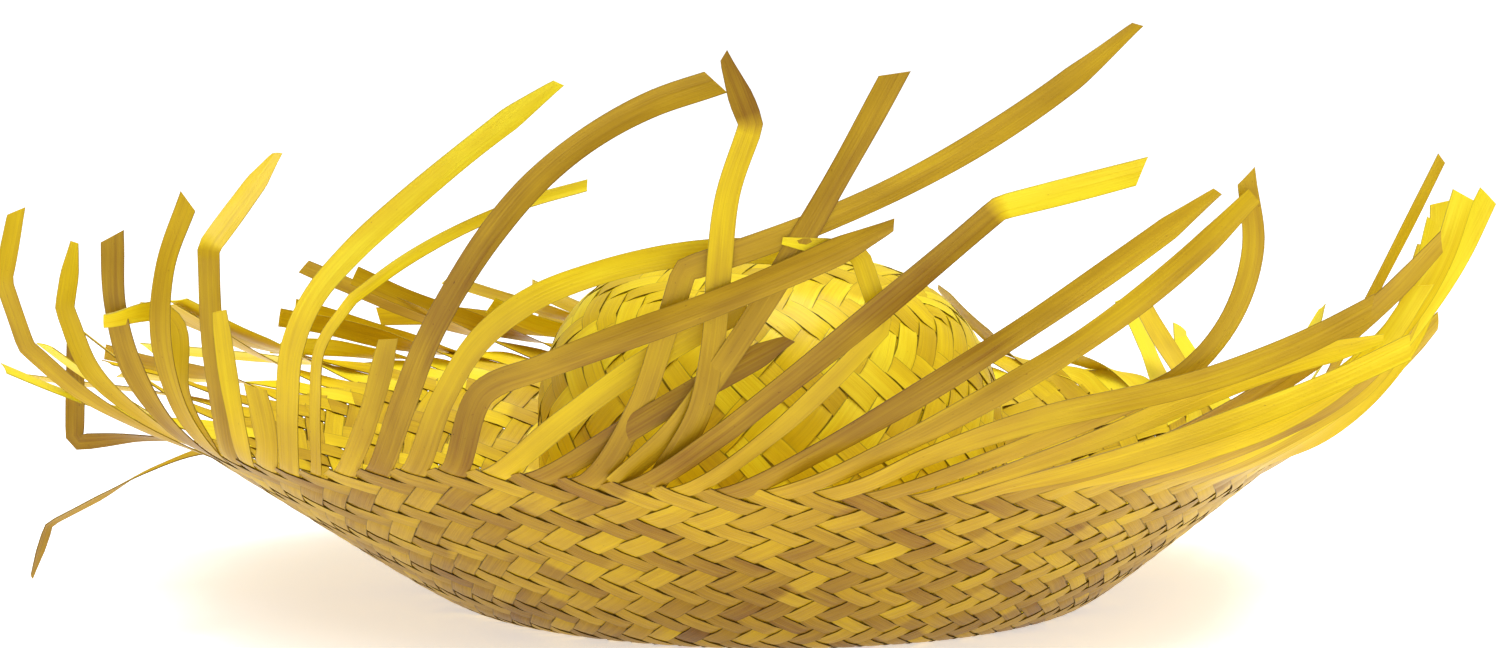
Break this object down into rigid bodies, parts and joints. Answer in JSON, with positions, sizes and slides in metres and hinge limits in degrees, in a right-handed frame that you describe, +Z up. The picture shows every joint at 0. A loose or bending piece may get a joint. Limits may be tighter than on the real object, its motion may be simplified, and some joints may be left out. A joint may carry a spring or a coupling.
{
  "type": "straw hat",
  "caption": "Plaited palm-straw sun hat: domed crown, wide brim curled up like a bowl, and a rim left as a fringe of long loose straw strips.",
  "frame": {"origin": "on the floor, under the middle of the overall box", "axes": "+Z up through the crown, +X to the hat's right side as seen from the front, -Y towards the front"},
  "size_m": [0.5798, 0.5082, 0.2382],
  "materials": {
    "straw_crown": "plaited palm straw, dyed yellow, satin",
    "straw_brim": "plaited palm straw, dyed yellow, satin, with browner strips",
    "straw_loose": "loose palm straw strips, dyed yellow to brown, satin"
  },
  "bodies": {
    "root": {"crown": "straw_crown", "brim": "straw_brim", "fringe": "straw_loose"}
  },
  "joints": []
}
